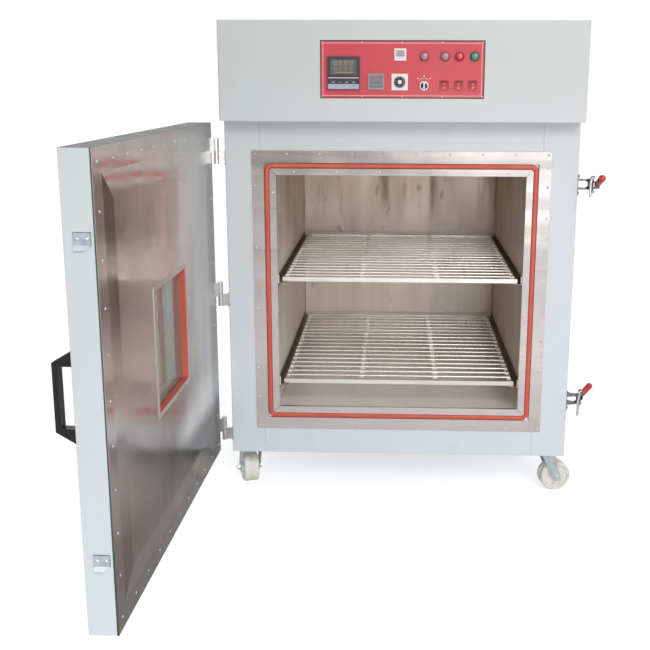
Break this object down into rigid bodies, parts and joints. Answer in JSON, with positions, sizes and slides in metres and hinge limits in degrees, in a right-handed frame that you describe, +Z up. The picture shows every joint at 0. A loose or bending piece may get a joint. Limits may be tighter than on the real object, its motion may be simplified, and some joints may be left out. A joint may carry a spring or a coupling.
{
  "type": "vacuum drying oven",
  "caption": "Floor-standing vacuum drying oven on swivel casters, with a windowed door, a red control panel, two wire shelves and side latches",
  "frame": {"origin": "On the floor, midway across the body, in the plane of the body's front face.", "axes": "+Z up, +Y from the door opening towards the back, +X to the right for a person who faces the oven."},
  "size_m": [1.3879, 2.2873, 1.523],
  "materials": {
    "painted_grey": "satin",
    "mineral_wool": "matte",
    "heater_foil": "matte",
    "stainless": "brushed",
    "stainless_frame": "brushed",
    "door_stainless": "brushed",
    "dark_stainless": "brushed",
    "shelf_steel": "satin",
    "window_steel": "satin",
    "hinge_steel": "polished",
    "bright_zinc": "satin",
    "dark_zinc": "satin",
    "silicone_red": "matte",
    "panel_red": "satin",
    "controller_plastic": "satin",
    "timer_plastic": "satin",
    "white_plastic": "satin",
    "black_plastic": "satin",
    "key_grey": "satin",
    "clear_lens": "gloss",
    "red_lens": "gloss",
    "green_lens": "gloss",
    "red_plastic": "gloss",
    "chrome": "polished",
    "white_nylon": "satin",
    "window_pane": "clear"
  },
  "bodies": {
    "oven": {"body_casing": "painted_grey", "rear_panel": "painted_grey", "insulation": "mineral_wool", "heaters": "heater_foil", "chamber": "stainless", "front_frame": "stainless_frame", "frame_screws": "bright_zinc", "door_seal": "silicone_red", "shelf_rails": "dark_stainless", "head_casing": "painted_grey", "head_rear_panel": "painted_grey", "control_panel": "panel_red", "panel_screws": "bright_zinc", "temperature_controller": "controller_plastic", "timer": "timer_plastic", "counter": "white_plastic", "limiter_plate": "white_plastic", "clear_lamps": "clear_lens", "heating_lamp": "red_lens", "ready_lamp": "green_lens", "selector_bezel": "chrome", "rocker_bezels": "red_plastic", "body_hinges": "hinge_steel", "latch_bases": "dark_zinc", "vacuum_port": "stainless_frame", "cable_gland": "black_plastic", "caster_plates": "bright_zinc"},
    "door": {"door_shell": "painted_grey", "door_insulation": "mineral_wool", "door_inner_panel": "door_stainless", "door_screws": "bright_zinc", "window_frame": "window_steel", "window_gasket": "silicone_red", "window_glass": "window_pane", "door_handle": "black_plastic", "door_strikes": "bright_zinc", "door_hinges": "hinge_steel"},
    "shelf_upper_b": {"shelf_upper": "shelf_steel"},
    "shelf_lower_b": {"shelf_lower": "shelf_steel"},
    "limiter_knob_b": {"limiter_knob": "black_plastic"},
    "selector_knob_b": {"selector_knob": "black_plastic"},
    "rocker_1_b": {"rocker_1": "red_plastic"},
    "rocker_2_b": {"rocker_2": "red_plastic"},
    "rocker_3_b": {"rocker_3": "red_plastic"},
    "key_1": {"controller_key_1": "key_grey"},
    "key_2": {"controller_key_2": "key_grey"},
    "key_3": {"controller_key_3": "key_grey"},
    "key_4": {"controller_key_4": "key_grey"},
    "fork_1": {"caster_fork_1": "bright_zinc"},
    "fork_2": {"caster_fork_2": "bright_zinc"},
    "fork_3": {"caster_fork_3": "bright_zinc"},
    "fork_4": {"caster_fork_4": "bright_zinc"},
    "wheel_1": {"caster_wheel_1": "white_nylon"},
    "wheel_2": {"caster_wheel_2": "white_nylon"},
    "wheel_3": {"caster_wheel_3": "white_nylon"},
    "wheel_4": {"caster_wheel_4": "white_nylon"},
    "lever_lower": {"latch_lever_lower": "dark_zinc"},
    "lever_upper": {"latch_lever_upper": "dark_zinc"},
    "loop_lower": {"latch_loop_lower": "bright_zinc"},
    "loop_upper": {"latch_loop_upper": "bright_zinc"}
  },
  "joints": [
    {"name": "door", "type": "hinge", "parent": "oven", "child": "door", "pos_m": [-0.574, 0, 0.69], "axis": [0, 0, 1], "range_deg": [-80, 91.5]},
    {"name": "shelf_upper_slide", "type": "slide", "parent": "oven", "child": "shelf_upper_b", "axis": [0, 1, 0], "range_m": [-0.45, 0]},
    {"name": "shelf_lower_slide", "type": "slide", "parent": "oven", "child": "shelf_lower_b", "axis": [0, 1, 0], "range_m": [-0.45, 0]},
    {"name": "limiter_turn", "type": "hinge", "parent": "oven", "child": "limiter_knob_b", "pos_m": [-0.007, -0.077, 1.346], "axis": [0, -1, 0], "range_deg": [-135, 135]},
    {"name": "selector_turn", "type": "hinge", "parent": "oven", "child": "selector_knob_b", "pos_m": [0.065, -0.077, 1.335], "axis": [0, -1, 0], "range_deg": [-45, 45]},
    {"name": "rocker_1_tilt", "type": "hinge", "parent": "oven", "child": "rocker_1_b", "pos_m": [0.125, -0.073, 1.336], "axis": [1, 0, 0], "range_deg": [-14, 0]},
    {"name": "rocker_2_tilt", "type": "hinge", "parent": "oven", "child": "rocker_2_b", "pos_m": [0.167, -0.073, 1.336], "axis": [1, 0, 0], "range_deg": [-14, 0]},
    {"name": "rocker_3_tilt", "type": "hinge", "parent": "oven", "child": "rocker_3_b", "pos_m": [0.209, -0.073, 1.336], "axis": [1, 0, 0], "range_deg": [-14, 0]},
    {"name": "key_1_press", "type": "slide", "parent": "oven", "child": "key_1", "axis": [0, 1, 0], "range_m": [0, 0.0008], "stiffness_N_per_m": 400},
    {"name": "key_2_press", "type": "slide", "parent": "oven", "child": "key_2", "axis": [0, 1, 0], "range_m": [0, 0.0008], "stiffness_N_per_m": 400},
    {"name": "key_3_press", "type": "slide", "parent": "oven", "child": "key_3", "axis": [0, 1, 0], "range_m": [0, 0.0008], "stiffness_N_per_m": 400},
    {"name": "key_4_press", "type": "slide", "parent": "oven", "child": "key_4", "axis": [0, 1, 0], "range_m": [0, 0.0008], "stiffness_N_per_m": 400},
    {"name": "caster_1_swivel", "type": "hinge", "parent": "oven", "child": "fork_1", "pos_m": [-0.498, 0.07, 0.125], "axis": [0, 0, 1], "continuous": true},
    {"name": "caster_1_roll", "type": "hinge", "parent": "fork_1", "child": "wheel_1", "pos_m": [-0.50894, 0.10007, 0.05], "axis": [-0.9397, -0.342, 0], "continuous": true},
    {"name": "caster_2_swivel", "type": "hinge", "parent": "oven", "child": "fork_2", "pos_m": [0.498, 0.07, 0.125], "axis": [0, 0, 1], "continuous": true},
    {"name": "caster_2_roll", "type": "hinge", "parent": "fork_2", "child": "wheel_2", "pos_m": [0.52941, 0.07611, 0.05], "axis": [-0.1908, 0.9816, 0], "continuous": true},
    {"name": "caster_3_swivel", "type": "hinge", "parent": "oven", "child": "fork_3", "pos_m": [-0.498, 1.05, 0.125], "axis": [0, 0, 1], "continuous": true},
    {"name": "caster_3_roll", "type": "hinge", "parent": "fork_3", "child": "wheel_3", "pos_m": [-0.48706, 1.08007, 0.05], "axis": [-0.9397, 0.342, 0], "continuous": true},
    {"name": "caster_4_swivel", "type": "hinge", "parent": "oven", "child": "fork_4", "pos_m": [0.498, 1.05, 0.125], "axis": [0, 0, 1], "continuous": true},
    {"name": "caster_4_roll", "type": "hinge", "parent": "fork_4", "child": "wheel_4", "pos_m": [0.48448, 1.079, 0.05], "axis": [-0.9063, -0.4226, 0], "continuous": true},
    {"name": "lever_lower_turn", "type": "hinge", "parent": "oven", "child": "lever_lower", "pos_m": [0.588, 0.035, 0.332], "axis": [0, 0, 1], "range_deg": [-118, 46]},
    {"name": "loop_lower_turn", "type": "hinge", "parent": "lever_lower", "child": "loop_lower", "pos_m": [0.60004, 0.05097, 0.332], "axis": [0, 0, 1], "range_deg": [-46, 118]},
    {"name": "lever_upper_turn", "type": "hinge", "parent": "oven", "child": "lever_upper", "pos_m": [0.588, 0.035, 1.036], "axis": [0, 0, 1], "range_deg": [0, 164]},
    {"name": "loop_upper_turn", "type": "hinge", "parent": "lever_upper", "child": "loop_upper", "pos_m": [0.59645, 0.01687, 1.036], "axis": [0, 0, 1], "range_deg": [-164, 0]}
  ],
  "couplings": [
    {"joint": "loop_lower_turn", "follows": "lever_lower_turn", "ratio": -1},
    {"joint": "loop_upper_turn", "follows": "lever_upper_turn", "ratio": -1}
  ]
}
